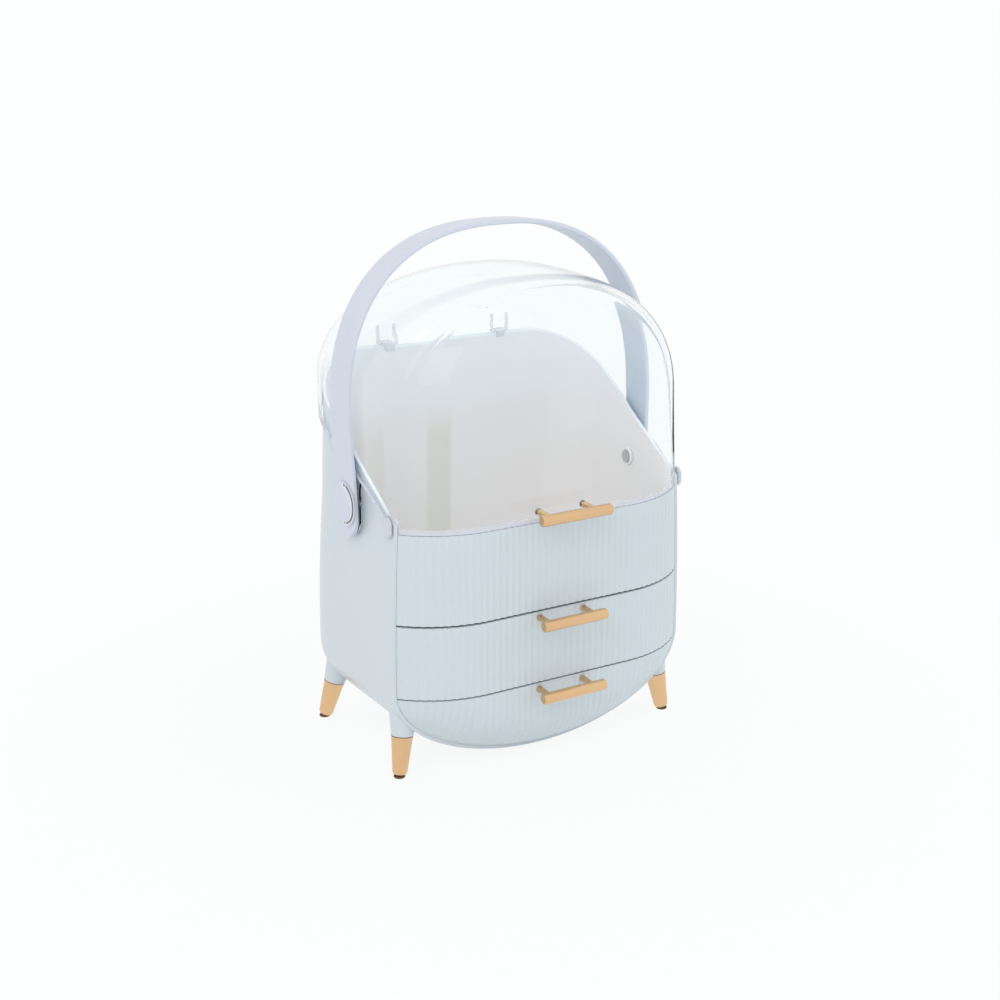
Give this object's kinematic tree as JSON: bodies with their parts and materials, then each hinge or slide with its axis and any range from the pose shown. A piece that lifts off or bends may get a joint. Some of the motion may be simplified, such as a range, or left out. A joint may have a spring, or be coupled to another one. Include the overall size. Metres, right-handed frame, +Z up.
{
  "type": "cosmetics box with drawers",
  "caption": "White table-top cosmetics box on splayed legs with fluted drawers, an open top compartment under a clear roll-back lid, gold bar pulls and a carrying strap.",
  "frame": {"origin": "middle of the bounding box on the ground under the feet", "axes": "+Z up, the drawers face -Y, +X to the right seen from behind the drawers' fronts looking along +Y"},
  "size_m": [0.2822, 0.2118, 0.4134],
  "materials": {
    "housing_white": "satin",
    "front_white": "satin",
    "inner_white": "matte",
    "strap_white": "satin",
    "soft_gold": "satin anodised",
    "rubber": "matte",
    "steel": "plain",
    "clear_plastic": "clear polished"
  },
  "bodies": {
    "box": {"housing": "housing_white", "front_panel": "front_white", "compartment_floor": "inner_white", "middle_shelf": "inner_white", "panel_screw_1": "steel", "panel_screw_2": "steel", "panel_screw_3": "steel", "pivot_pin_left": "steel", "pivot_cap_left": "strap_white", "pivot_ring_left": "inner_white", "rear_clip_left": "clear_plastic", "pivot_pin_right": "steel", "pivot_cap_right": "strap_white", "pivot_ring_right": "inner_white", "rear_clip_right": "clear_plastic", "leg_cap_front_left": "soft_gold", "foot_pad_front_left": "rubber", "leg_cap_front_right": "soft_gold", "foot_pad_front_right": "rubber", "leg_cap_rear_left": "soft_gold", "foot_pad_rear_left": "rubber", "leg_cap_rear_right": "soft_gold", "foot_pad_rear_right": "rubber"},
    "upper_drawer": {"upper_drawer_front": "front_white", "upper_drawer_tray": "inner_white", "upper_drawer_pull": "soft_gold", "upper_drawer_pull_screw_1": "steel", "upper_drawer_pull_screw_2": "steel", "upper_drawer_tray_screw_1": "steel", "upper_drawer_tray_screw_2": "steel"},
    "lower_drawer": {"lower_drawer_front": "front_white", "lower_drawer_tray": "inner_white", "lower_drawer_pull": "soft_gold", "lower_drawer_pull_screw_1": "steel", "lower_drawer_pull_screw_2": "steel", "lower_drawer_tray_screw_1": "steel", "lower_drawer_tray_screw_2": "steel"},
    "lid": {"lid": "clear_plastic", "lid_pull": "soft_gold", "lid_pull_screw_1": "steel", "lid_pull_screw_2": "steel"},
    "strap": {"strap": "strap_white"}
  },
  "joints": [
    {"name": "upper_drawer_slide", "type": "slide", "parent": "box", "child": "upper_drawer", "axis": [0, -1, 0], "range_m": [0, 0.105]},
    {"name": "lower_drawer_slide", "type": "slide", "parent": "box", "child": "lower_drawer", "axis": [0, -1, 0], "range_m": [0, 0.105]},
    {"name": "lid_hinge", "type": "hinge", "parent": "box", "child": "lid", "pos_m": [0, 0.01015, 0.20751], "axis": [-1, 0, 0], "range_deg": [0, 60]},
    {"name": "strap_hinge", "type": "hinge", "parent": "box", "child": "strap", "pos_m": [0, 0.01015, 0.20751], "axis": [-1, 0, 0], "range_deg": [-90, 87]}
  ]
}
